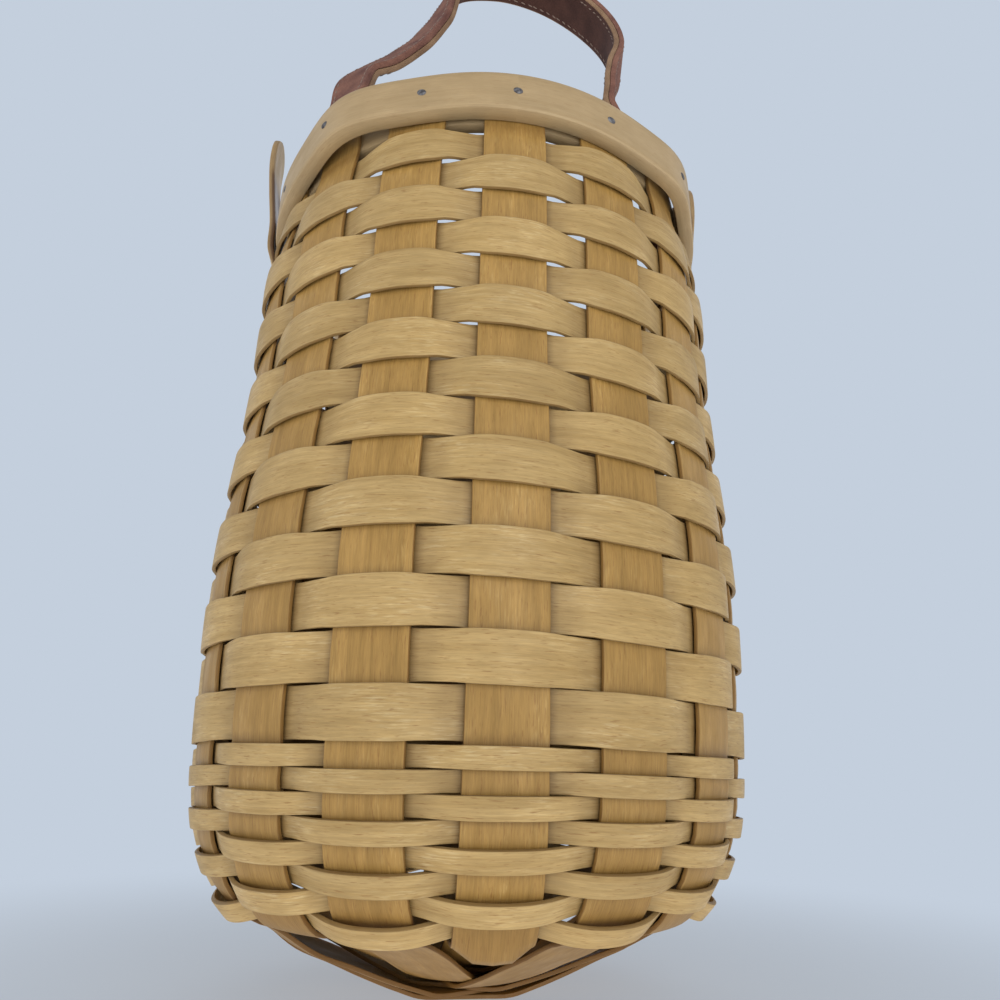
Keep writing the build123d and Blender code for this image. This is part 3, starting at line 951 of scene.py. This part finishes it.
@dataclass
class Uprights:
    """Eight long stakes that cross under the basket and rise as sixteen uprights."""

    former: Former
    plan: WeavePlan = field(default_factory=WeavePlan)
    width: float = 19.05
    thickness: float = 1.05
    fan: tuple[int, ...] = (0, 2, -2, -1, 1, 3, -3, 4)
    press: float = 0.22
    ease: float = 0.2
    step: float = 2.2
    # slow changes of the width: its share and the length that they take
    width_waves: tuple[Pair, ...] = ((0.012, 37.0), (0.008, 13.0))
    top_pitch: float = 11.0
    woven_heights: Quad = (20.0, 30.0, 240.0, 247.0)
    flat_half: float = 12.0
    round_from: float = 22.0
    # the front foot's slack: how far it bulges, then where: along the stake, by height, and
    # across from the middle
    foot_bulge: float = 3.3
    foot_run: Quad = (53.0, 61.0, 64.0, 71.0)
    foot_heights: Pair = (24.5, 27.5)
    foot_across: Pair = (3.0, 9.5)
    # painted shade where a weaver covers the upright
    painted_hidden_shade: float = 0.55
    # painted shade, darker towards the base between these heights
    painted_base_shade: float = 0.28
    shade_heights: Pair = (25.0, 36.0)
    seed: int = 5

    def turned(self, order: int) -> float:
        """Angle from the front of a stake; those beside the front one lie under it."""
        return self.fan[order] * 2 * math.pi / UPRIGHTS

    def row_count(self, height: float, rows: list[Row]) -> float:
        """Row number at a height, with its fraction."""
        if height >= rows[0].height:
            return 1.0 - (height - rows[0].height) / self.top_pitch
        for above, below in zip(rows, rows[1:]):
            if height >= below.height:
                return above.number + (above.height - height) / (above.height - below.height)
        return float(rows[-1].number)

    def path(self, order: int, rows: list[Row], draw: random.Random) -> list[Spot]:
        """Lays one long stake from rim to rim.

        Args:
            order: the stake's place in the stack.
            rows: the weave's rows.
            draw: seeded source of small differences.

        Returns:
            The strip's spots.
        """
        half = smooth_path(self.former.wall.half(order), self.step)
        line = [Vector((p.x, p.z)) for p in half] + [Vector((-p.x, p.z)) for p in reversed(half[:-1])]
        azimuth = self.turned(order)
        ahead = facing(azimuth)
        side = Vector((math.cos(azimuth), math.sin(azimuth), 0.0))
        phases = [draw.uniform(0, 6.28) for _ in range(4)]
        spots, run = [], 0.0
        for k, (s, z) in enumerate(line):
            if k:
                run += math.dist(line[k], line[k - 1])
            along = heading(line, k)
            out = ahead * -along.y + Vector((0, 0, along.x))
            if abs(s) < self.flat_half:
                out = Vector((0, 0, -1))
            elif (s >= 0) != (out.dot(ahead) > 0):
                out = -out
            number = self.row_count(z, rows)
            parity = order_parity(azimuth if s >= 0 else azimuth + math.pi)
            woven = hump(self.woven_heights, z)
            push = -self.press * math.cos(math.pi * number) * parity * woven
            tongue = 0.0
            if order == 0 and s > 0:
                # slack between the last row and the crossing
                low, high = self.foot_heights
                tongue = self.foot_bulge * hump(self.foot_run, s) * smooth_step(high, low, z)
            # how far a weaver covers the upright here, for the painted shade
            hid = smooth_step(-0.2, 1.0, math.cos(math.pi * number) * parity) * woven
            wide = 1.0 + sum(size * math.sin(run / length + phase)
                             for (size, length), phase in zip(self.width_waves, phases))
            radius, sign = abs(s), math.copysign(1.0, s)

            def slide(x: float, radius: float = radius, sign: float = sign,
                      bulge: Vector = out * tongue) -> Vector:
                """Follows the round wall across the splint's width, and bulges in its middle."""
                share = smooth_step(self.flat_half, self.round_from, radius)
                near = math.sqrt(max(radius * radius - x * x, 0.0))
                full, none = self.foot_across
                return ahead * (-sign * share * (radius - near)) + bulge * smooth_step(none, full, abs(x))

            # painted shade: behind the weavers, and darker towards the base
            spots.append(Spot(ahead * s + Vector((0, 0, z)) + out * push, side, out, run, wide,
                              depth=self.painted_hidden_shade * hid
                              + self.painted_base_shade * smooth_step(*reversed(self.shade_heights), z),
                              slide=slide))
        return spots

    def build(self, material: Material) -> None:
        """Makes every stake.

        Args:
            material: the splint's material.
        """
        draw = random.Random(self.seed)
        rows = self.plan.rows(self.former)
        for order in range(LONG_STAKES):
            section = Section(self.width, self.thickness, self.ease)
            strip = Strip(f"stake_{order + 1}_splint", section, self.path(order, rows, draw),
                          tone=draw.random())
            settle(strip.build([material]), "splint_upright", f"stake_{order + 1}")


def order_parity(azimuth: float) -> float:
    """Plus one at the front upright and minus one at its neighbours."""
    return 1.0 if round(azimuth / (2 * math.pi / UPRIGHTS)) % 2 == 0 else -1.0


@dataclass
class Rim:
    """Two bent hoops with the uprights' ends between them, nailed through."""

    top: float = 259.0
    outer_in: float = 78.785
    outer_out: float = 83.985
    outer_high: float = 14.5
    inner_in: float = 73.615
    inner_out: float = 77.615
    inner_high: float = 14.5
    tones: Pair = (0.55, 0.35)
    ease: float = 0.9
    tack_drop: float = 7.0
    tack: Pin = Pin(head=(1.512, 1.215, 0.38), head_sides=20, radius=0.65, long=11.0, sides=10)
    tack_seat: float = 0.05
    tack_lift: float = 0.02
    tack_sunk: float = 5.6
    tack_turn: float = 0.6
    bent: RimSet = RimSet()
    loose: RimSet = RimSet(shoulders=((-38.5, 12.0, 3.6), (45.0, 10.0, 2.4)))
    tack_nudge: tuple[tuple[int, float], ...] = ((15, 2.4), (14, 1.4), (1, -1.0), (2, 1.0))
    steps: int = 320
    seed: int = 3
    # unevenness of bent wood: size in mm, times round and phase
    wobbles: tuple[Triple, ...] = ((0.12, 3, 0.4), (0.08, 7, 0.0))
    sway: Triple = (0.15, 2, 1.3)

    def hoop(self, name: str, r_in: float, r_out: float, high: float, tone: float,
             bent: RimSet) -> Strip:
        """One bent hoop.

        Args:
            name: the piece's name.
            r_in: inner radius.
            r_out: outer radius.
            high: height from its lower edge to the rim's top.
            tone: how light its wood is.
            bent: how it stands off a true circle.

        Returns:
            The strip.
        """
        middle, height = (r_in + r_out) / 2, self.top - high / 2
        spots = []
        for k in range(self.steps + 1):
            a = 2 * math.pi * (k % self.steps) / self.steps
            radial = facing(a)
            wobble, sway = [sum(size * math.sin(times * a + phase) for size, times, phase in waves)
                            for waves in (self.wobbles, (self.sway,))]
            at = radial * middle + Vector((0, 0, height + sway))
            spots.append(Spot(at, Vector((0, 0, 1)), radial, middle * 2 * math.pi * k / self.steps,
                              1.0 + wobble / 40, thick=1.0 + wobble / 60))
        return Strip(name, Section(high, r_out - r_in, self.ease), spots, True, tone, painted_edge_shade=0.0,
                     bent=bent)

    def tacks(self) -> BMesh:
        """Sixteen tacks with low domed heads.

        Returns:
            Their mesh in metres.
        """
        bm = bmesh.new()
        draw = random.Random(self.seed)
        for k in range(UPRIGHTS):
            a = 2 * math.pi * k / UPRIGHTS + math.radians(dict(self.tack_nudge).get(k, 0.0))
            out = facing(a)
            turn = Matrix.Rotation(draw.uniform(-self.tack_turn, self.tack_turn), 4, "Z")
            frame = out.to_track_quat("Z", "Y").to_matrix().to_4x4()
            place = out * (self.outer_out - self.tack_seat) + Vector((0, 0, self.top - self.tack_drop))
            seat = Matrix.Translation(self.loose.moved(place) * MM)
            head = self.tack.add(bm, seat @ frame @ turn,
                                 Matrix.Translation(out * (-self.tack_sunk * MM)) @ seat @ frame)
            for v in head:
                v.co += out * (self.tack_lift * MM)
        return smoothed(bm)

    def build(self, wood: Material, metal: Material) -> None:
        """Makes the hoops and the tacks.

        Args:
            wood: the hoops' material.
            metal: the tacks' material.
        """
        for side, *sizes in (
                ("outer", self.outer_in, self.outer_out, self.outer_high, self.tones[0], self.loose),
                ("inner", self.inner_in, self.inner_out, self.inner_high, self.tones[1], self.bent)):
            hoop = self.hoop(f"rim_{side}_hoop", *sizes)
            settle(hoop.build([wood]), "rim_wood", f"rim_{side}_band")
        settle(finished("rim_tack_heads", self.tacks(), [metal]), "tack_steel", "rim_tacks")


@dataclass
class Ears:
    """Two bent ears at the sides, tucked in behind the second row."""

    former: Former
    rim: Rim
    plan: WeavePlan = field(default_factory=WeavePlan)
    width: float = 18.0
    thickness: float = 2.2
    tongue_width: float = 8.0
    tongue_thick: float = 0.5
    tongue_gap: float = 0.1
    stand_gap: float = 0.2
    rise: float = 41.5
    lean: float = 5.2
    ease: float = 0.7
    step: float = 0.8
    # painted shadow on each ear's inner face: full up to the first rise above the rim's top, gone by the
    # second
    painted_inner_shadow: float = 0.95
    shadow_rises: Pair = (14.0, 25.0)

    def path(self, side: int) -> list[Spot]:
        """Lays one ear from its tongue to its rounded top.

        Args:
            side: -1 for the left ear and 1 for the right one.

        Returns:
            The strip's spots.
        """
        tuck = self.plan.rows(self.former)[1].height
        tongue = self.former.radius(tuck) + self.former.wall.splint / 2 + self.tongue_gap \
            + self.tongue_thick / 2
        stand = self.rim.outer_out + self.stand_gap + self.thickness / 2
        low, top = self.rim.top - self.rim.outer_high, self.rim.top
        # up behind the row, out past the hoop's lower edge, outward, and a little back at the tip
        points = ((tongue, tuck - 5.5), (tongue, tuck + 5.0), (tongue + 0.25, tuck + 8.5),
                  (stand + 0.15, low - 0.6), (stand + 0.9, top - 3), (stand + 2.9, top + 12),
                  (stand + self.lean - 0.8, top + 27), (stand + self.lean - 1.3, top + self.rise))
        line = smooth_path([Vector((r, 0.0, z)) for r, z in points], self.step)
        spots = []
        for k, p in enumerate(line):
            along = heading(line, k)
            share = smooth_step(low - 10, low - 1, p.z)
            wide = self.tongue_width + (self.width - self.tongue_width) * share
            # the top end is a half circle
            past = (p.z - (top + self.rise - self.width / 2)) / (self.width / 2)
            if past > 0:
                wide *= max(0.10, math.sqrt(max(0.0, 1 - past ** 2)))
            thick = (self.tongue_thick + (self.thickness - self.tongue_thick) * share) / self.thickness
            at = Vector((side * p.x, 0.0, p.z))
            out = Vector((side * along.z, 0.0, -along.x))
            # the inner face carries the painted shadow
            spots.append(Spot(at, Vector((0, 1, 0)), out, p.z, wide / self.width, thick,
                              inside=self.painted_inner_shadow * smooth_step(
                                  top + self.shadow_rises[1], top + self.shadow_rises[0], p.z)))
        return spots

    def build(self, wood: Material) -> None:
        """Makes both ears.

        Args:
            wood: their material.
        """
        section = Section(self.width, self.thickness, self.ease)
        for name, side, tone in (("left", -1, 0.2), ("right", 1, 0.6)):
            strip = Strip(f"ear_{name}_bent_ash", section, self.path(side), tone=tone)
            settle(strip.build([wood]), "ear_wood", f"ear_{name}")


# The handle


@dataclass
class Handle:
    """A two-layer stitched strap that rises from inside the rim and twists as it goes."""

    rim: Rim
    width: float = 18.6
    layer: float = 2.2
    tail_turn: float = 56.25
    tail_heights: Triple = (236.0, 250.0, 262.0)
    tail_facing: float = 33.75
    tail_gap: float = 0.06
    step: float = 1.3
    bend: float = 270.0
    lean: float = 14.0
    stitch_pitch: float = 3.6
    stitch_in: float = 2.3
    stitch_margin: float = 12.0
    stitch_turn: float = 0.16
    stitch_half: Triple = (1.35, 0.36, 0.3)
    ply_gap: float = 0.02
    ease: float = 0.5
    bend_run: Pair = (-7.0, 22.0)  # from below the bend to above it
    rivet_drop: float = 5.25
    rivet_spread: float = 5.2
    rivet_sunk: float = 0.1
    rivet: Pin = Pin(head=(2.6, 2.6, 1.0), head_sides=24, radius=1.3, long=7.6, sides=14)
    # across, distance from the bend, and turn towards the front in degrees
    line: tuple[Triple, ...] = (
        (-58.8, 10.0, 38.0), (-56.0, 26.0, 48.0), (-54.0, 43.0, 55.0), (-46.0, 53.0, 60.0),
        (-37.0, 67.0, 56.0), (-28.0, 88.0, 48.0), (-22.0, 114.0, 34.0), (-15.0, 140.0, 17.0),
        (2.0, 149.0, 8.0), (21.0, 144.0, 8.0), (38.0, 128.0, 10.0), (50.0, 106.0, 10.0),
        (53.0, 84.0, 9.0), (48.0, 65.0, 8.0), (46.0, 48.0, 12.0), (46.0, 33.0, 22.0),
        (51.0, 21.0, 30.0), (58.8, 10.0, 34.0))

    @property
    def tail_radius(self) -> float:
        """Radius at which the middle of a tail hangs."""
        return math.sqrt((self.rim.inner_in - self.tail_gap) ** 2 - (self.width / 2) ** 2) - self.layer

    def frame(self) -> tuple[Vector, Vector, Vector]:
        """The handle's plane: its foot, its rising direction and its front."""
        tilt = math.radians(self.lean)
        depth = -self.tail_radius * math.cos(math.radians(self.tail_turn))
        return (Vector((0.0, depth, self.bend)), Vector((0.0, math.sin(tilt), math.cos(tilt))),
                Vector((0.0, -math.cos(tilt), math.sin(tilt))))

    def spots(self) -> list[Spot]:
        """Lays the strap from one tail to the other.

        Returns:
            The strip's spots; out points away from the hand.
        """
        foot, rising, front = self.frame()
        turn = math.radians(self.tail_turn)
        tails = [self.rim.bent.moved(Vector((side * self.tail_radius * math.sin(turn), foot.y, self.rim.top)))
                 for side in (-1, 1)]
        knots = []
        for z in self.tail_heights:
            knots.append((Vector((tails[0].x, tails[0].y, z)), self.tail_facing, 0.0))
        for x, d, turn in self.line:
            knots.append((foot + rising * d + Vector((x, 0, 0)), turn, 1.0))
        for z in reversed(self.tail_heights):
            knots.append((Vector((tails[1].x, tails[1].y, z)), self.tail_facing, 0.0))
        track = smooth_path([k[0] for k in knots], self.step)
        spots, run, nearest = [], 0.0, 0
        for k, at in enumerate(track):
            along = heading(track, k)
            while nearest < len(knots) - 2 and (knots[nearest + 1][0] - knots[nearest][0]).dot(
                    at - knots[nearest + 1][0]) > 0:
                nearest += 1
            a, b = knots[nearest], knots[nearest + 1]
            share = smooth_step(0.0, 1.0, (at - a[0]).dot(b[0] - a[0]) / (b[0] - a[0]).length_squared)
            turn = math.radians(a[1] + (b[1] - a[1]) * share)
            up = a[2] + (b[2] - a[2]) * share
            ahead = Vector((0, -1, 0)).lerp(front, up).normalized()
            plain = ahead.cross(along).normalized()
            out = (plain * math.cos(turn) + ahead * math.sin(turn)).normalized()
            out = (out - along * out.dot(along)).normalized()
            if k:
                run += (at - track[k - 1]).length
            spots.append(Spot(at, along.cross(out), out, run))
        return spots

    def layer_strip(self, name: str, side: int, spots: list[Spot]) -> Strip:
        """One layer of the strap.

        Args:
            name: the piece's name.
            side: 1 for the outer layer and -1 for the lining.
            spots: the strap's middle.

        Returns:
            The strip.
        """
        shift = self.layer / 2 * side
        moved = [Spot(s.at + s.out * shift, s.across, s.out, s.along) for s in spots]
        return Strip(name, Section(self.width, self.layer - self.ply_gap, self.ease), moved, bent=None)

    def stitches(self, spots: list[Spot]) -> BMesh:
        """Rows of saddle stitching along both edges of both faces.

        Args:
            spots: the strap's middle.

        Returns:
            Their mesh in metres.
        """
        bm = bmesh.new()
        total = spots[-1].along
        for row in (-1, 1):
            for face in (-1, 1):
                want, k = self.stitch_margin, 0
                while want < total - self.stitch_margin:
                    while spots[k + 1].along < want:
                        k += 1
                    s = spots[k]
                    at = s.at + s.across * (row * (self.width / 2 - self.stitch_in)) \
                        + s.out * (face * (self.layer - self.ply_gap))
                    along = (spots[k + 1].at - s.at).normalized()
                    turn = Matrix((along, s.across, s.out)).transposed().to_4x4()
                    bmesh.ops.create_icosphere(
                        bm, subdivisions=1, radius=MM,
                        matrix=Matrix.Translation(at * MM) @ turn
                        @ Matrix.Rotation(self.stitch_turn * row, 4, "Z")
                        @ Matrix.Diagonal((*self.stitch_half, 1.0)))
                    want += self.stitch_pitch
        return smoothed(bm)

    def rivets(self) -> BMesh:
        """Short rivets that hold the tails to the inner hoop.

        Returns:
            Their mesh in metres.
        """
        bm = bmesh.new()
        height = self.rim.top - self.rivet_drop
        face = self.tail_radius - self.layer
        for side in (-1, 1):
            a = math.radians(side * self.tail_turn)
            out = facing(a)
            across = Vector((math.cos(a), math.sin(a), 0.0))
            frame = out.to_track_quat("Z", "Y").to_matrix().to_4x4()
            for step in (-self.rivet_spread, self.rivet_spread):
                at = out * (face - self.rivet_sunk + self.rim.bent.push(a, self.rim.top)) + across * step
                at += Vector((0, 0, height))
                shank = at + out * (self.rivet.long / 2 + self.rivet_sunk)
                self.rivet.add(bm, Matrix.Translation(at * MM) @ frame,
                               Matrix.Translation(shank * MM) @ frame)
        return smoothed(bm)

    def build(self, outer: Material, lining: Material, edge: Material,
              thread: Material, brass: Material) -> None:
        """Makes the strap, its lining, its stitching and its rivets.

        Args:
            outer: the outer leather.
            lining: the lining's leather.
            edge: the lining's cut edge.
            thread: the stitching's thread.
            brass: the rivets' metal.
        """
        spots = self.spots()
        strap = self.layer_strip("handle_strap_leather", 1, spots).build([outer])
        lined = self.layer_strip("handle_lining_leather", -1, spots)
        lined.paint = lambda i, j: int(lined.section.on_side(j))
        lining_piece = lined.build([lining, edge])
        sewn = finished("handle_stitching", self.stitches(spots), [thread])
        for piece, slot, nodes in ((strap, "leather_outer", ("handle_strap", "handle_tab_left")),
                                   (lining_piece, "leather_lining", ("handle_lining", "handle_tab_right")),
                                   (sewn, "leather_lining", ())):
            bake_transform(piece)
            if nodes:
                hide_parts(*nodes)
            LOG.info("%s: %d faces", piece.name, len(piece.data.polygons))
        settle(finished("handle_rivets", self.rivets(), [brass]), "rivet_brass", "tab_rivets")


# Studio


@dataclass
class Studio:
    """Pale paper, soft light and the camera."""

    eye: Triple = (-0.02507, -0.251565, 0.05779)
    right: Triple = (0.9904, -0.1373, 0.0190)
    up: Triple = (-0.0653, -0.3411, 0.9378)
    focal_px: float = 751.0
    frame_px: float = 1000.0
    sensor_mm: float = 36.0
    backdrop: str = "C4CFDD"
    light: str = "FFFDF8"
    fill: float = 0.38
    floor_half: float = 6.0
    lamp_aim: Triple = (0.0, 0.0, 0.16)
    # each lamp's name, place and side in metres, power in watts and colour
    lamps: tuple[tuple[str, Triple, float, float, str], ...] = (
        ("key_softbox", (0.3, -1.5, 0.32), 1.4, 11.5, "FFFCF5"),
        ("side_softbox", (-1.4, -0.7, 0.5), 1.2, 3.6, "FFFCF5"),
        ("back_softbox", (0.3, 1.5, 1.2), 1.4, 6.0, "FBFBFF"))

    def camera(self) -> None:
        """Puts the camera low in front, looking up at the rim."""
        data = bpy.data.cameras.new("camera")
        data.sensor_width = self.sensor_mm
        data.lens = self.focal_px / self.frame_px * self.sensor_mm
        data.clip_start, data.clip_end = 0.005, 50.0
        made = linked("camera", data)
        right = Vector(self.right).normalized()
        up = Vector(self.up)
        up = (up - right * up.dot(right)).normalized()
        turn = Matrix((right, up, right.cross(up))).transposed().to_4x4()
        made.matrix_world = Matrix.Translation(self.eye) @ turn
        bpy.context.scene.camera = made

    def lamp(self, name: str, place: Triple, size: float, watts: float,
             colour: str) -> None:
        """Adds one soft square lamp aimed at the basket.

        Args:
            name: its name.
            place: where it stands, in metres.
            size: its side in metres.
            watts: its power.
            colour: its hex colour.
        """
        data = bpy.data.lights.new(name, "AREA")
        data.size, data.energy = size, watts
        data.color = linear(colour)[:3]
        turn = (Vector(self.lamp_aim) - Vector(place)).to_track_quat("-Z", "Y")
        linked(name, data).matrix_world = Matrix.Translation(place) @ turn.to_matrix().to_4x4()

    def world(self) -> None:
        """Pale surroundings: seen by the camera as paper, and giving a soft fill."""
        world = bpy.data.worlds.new("studio")
        bpy.context.scene.world = world
        world.use_nodes = True
        tree = world.node_tree
        tree.nodes.clear()
        light = add_node(tree, "ShaderNodeBackground", {}, {
            "Color": linear(self.light), "Strength": self.fill})
        paper = add_node(tree, "ShaderNodeBackground", {}, {
            "Color": linear(self.backdrop), "Strength": 1.0})
        both = add_node(tree, "ShaderNodeMixShader", {}, {
            0: seen_directly(tree), 1: light.outputs[0], 2: paper.outputs[0]})
        add_node(tree, "ShaderNodeOutputWorld", {}, {"Surface": both.outputs[0]})

    def floor(self) -> None:
        """A wide sheet of pale paper under the basket."""
        bm = bmesh.new()
        bmesh.ops.create_grid(bm, x_segments=8, y_segments=8, size=self.floor_half)
        made = finished("studio_floor", bm, [MattPaper().build()])

    def build(self) -> None:
        """Sets up the whole studio."""
        self.camera()
        self.world()
        self.floor()
        for lamp in self.lamps:
            self.lamp(*lamp)
        bpy.context.scene.view_settings.view_transform = "Standard"


def main() -> None:
    """Builds the basket's pieces in order and dresses the frame."""
    logging.basicConfig(level=logging.INFO, format="%(name)s %(message)s")
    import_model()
    former = Former(Wall())
    studio = Studio()
    studio.build()
    weaver_wood = AshSplint("oiled_ash_weaver").build()
    upright_wood = AshSplint("oiled_ash_upright", early="A68348", late="8F6F38", painted_shade="64421E",
                             pale="BB9E64", streak_mm=(60.0, 1.9)).build()
    rim_wood = AshSplint("bent_ash_rim", early="AA9472", late="9C8561", painted_shade="80643E", pale="B8A68A",
                         sheen_share=0.2, fibre_dark=0.93, pore_share=0.3, streak_mm=(90.0, 2.6),
                         fibre_height=0.00004).build()
    ear_wood = AshSplint("bent_ash_ear", early="C0A67A", late="A4875B", painted_shade="5A4028").build()
    steel = DrawnMetal("dulled_steel_tack", "7F7D7E", "5A5657").build()
    brass = DrawnMetal("dulled_brass_rivet", "9A7C46", "6B5330").build()
    outer = TannedLeather("bridle_leather_nap", "62403A", "865F52", relief=0.0003, roughness=0.85).build()
    lining = TannedLeather("bridle_leather_smooth", "3C221C", "50322A", pebble_mm=0.7, roughness=0.78,
                           relief=0.0001).build()
    edge = TannedLeather("bridle_leather_cut_edge", "745A45", "91755C", pebble_mm=0.5,
                         roughness=0.7).build()
    thread = WaxedThread().build()
    Uprights(former).build(upright_wood)
    Weavers(former).build(weaver_wood)
    rim = Rim()
    rim.build(rim_wood, steel)
    Ears(former, rim).build(ear_wood)
    Handle(rim).build(outer, lining, edge, thread, brass)
    LOG.info("sizes kept")


if __name__ == "__main__":
    main()
